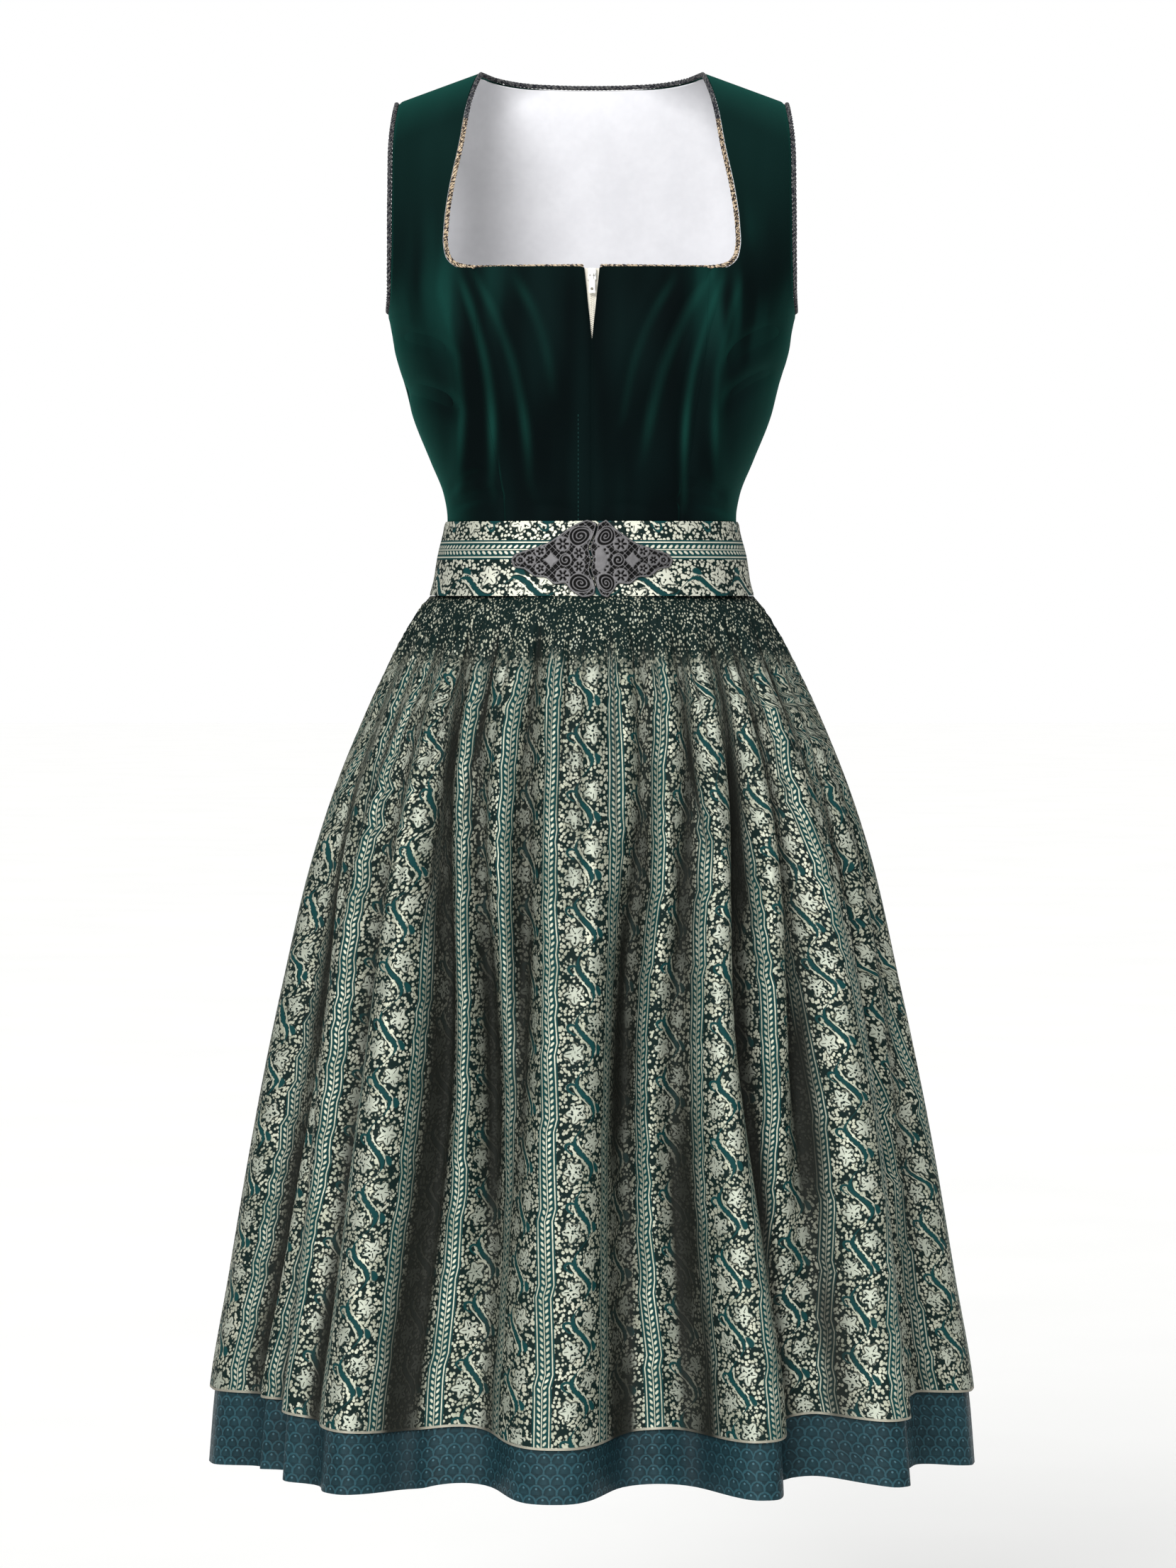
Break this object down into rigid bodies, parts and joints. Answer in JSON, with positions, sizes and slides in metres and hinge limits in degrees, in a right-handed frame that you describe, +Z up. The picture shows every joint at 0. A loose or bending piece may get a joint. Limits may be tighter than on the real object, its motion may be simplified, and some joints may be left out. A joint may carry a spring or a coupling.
{
  "type": "dress and apron set",
  "caption": "Sleeveless velvet bodice with a square neckline on a long gathered skirt, under a vine-striped apron with a smocked head, a waistband and a filigree clasp.",
  "frame": {"origin": "midway between the two neck points of the shoulders, where the wearer's shoulders hold it up", "axes": "+Z up, +X towards the wearer's left, -Y towards the front"},
  "size_m": [0.6009, 0.5059, 1.0825],
  "materials": {
    "velvet": "dark green cotton velvet with a short nap",
    "apron_jacquard": "dark green ground with pale silver-green woven vine stripes, satin sheen",
    "skirt_jacquard": "petrol jacquard with a small woven scale pattern, satin sheen",
    "lining": "plain white lining, pale lilac in shade",
    "neck_braid": "twisted braid of beige and dark brown yarn, dark at the back",
    "armhole_braid": "twisted braid of near-black yarn with pale flecks",
    "zip_cloth": "cream zip tape and coil",
    "zip_metal": "white painted metal",
    "clasp_metal": "pewter-grey cast filigree, dark in its hollows"
  },
  "bodies": {
    "dress": {"apron_skirt": "apron_jacquard", "apron_waistband": "apron_jacquard", "armhole_trim_left": "armhole_braid", "armhole_trim_right": "armhole_braid", "back_lining": "lining", "bodice_back_centre": "velvet", "bodice_front_left": "velvet", "bodice_front_right": "velvet", "bodice_side_back_left": "velvet", "bodice_side_back_right": "velvet", "bodice_side_front_left": "velvet", "bodice_side_front_right": "velvet", "clasp_left": "clasp_metal", "clasp_right": "clasp_metal", "dress_skirt": "skirt_jacquard", "neck_trim": "neck_braid", "zip_slider": "zip_metal", "zip_tape": "zip_cloth"},
    "pull": {"zip_pull": "zip_metal"}
  },
  "joints": [
    {"name": "zip_pull_hinge", "type": "hinge", "parent": "dress", "child": "pull", "pos_m": [0, -0.10413, -0.16165], "axis": [-1, 0, 0], "range_deg": [0, 150]}
  ]
}
